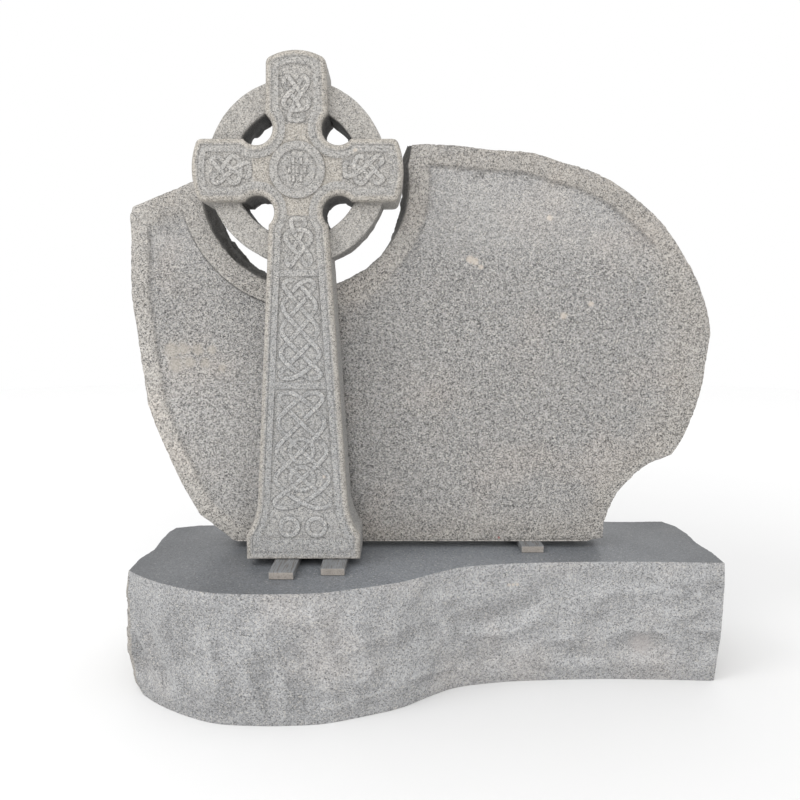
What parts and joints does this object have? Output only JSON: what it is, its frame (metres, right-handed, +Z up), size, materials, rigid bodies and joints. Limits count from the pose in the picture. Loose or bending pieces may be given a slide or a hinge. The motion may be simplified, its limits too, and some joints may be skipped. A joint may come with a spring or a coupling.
{
  "type": "celtic cross headstone",
  "caption": "Granite memorial: a carved ring cross standing before a shaped tablet with a half-round cut-out, both set on battens on a low base",
  "frame": {"origin": "middle of the base's underside, on the ground", "axes": "+Z up, the carved front looks along -Y, +X to the right seen from the front"},
  "size_m": [1.4305, 0.5486, 1.442],
  "materials": {
    "base_granite": "grey granite, polished dark on top, dressed and rock-pitched walls",
    "tablet_granite": "grey granite, satin sunk face inside a rough warm margin, rock-pitched edges",
    "cross_granite": "fine-punched warm grey granite with low relief",
    "batten_wood": "weathered sawn softwood"
  },
  "bodies": {
    "root": {"base": "base_granite", "tablet": "tablet_granite", "cross": "cross_granite", "setting_batten_left": "batten_wood", "setting_batten_right": "batten_wood", "setting_batten_tablet": "batten_wood"}
  },
  "joints": []
}
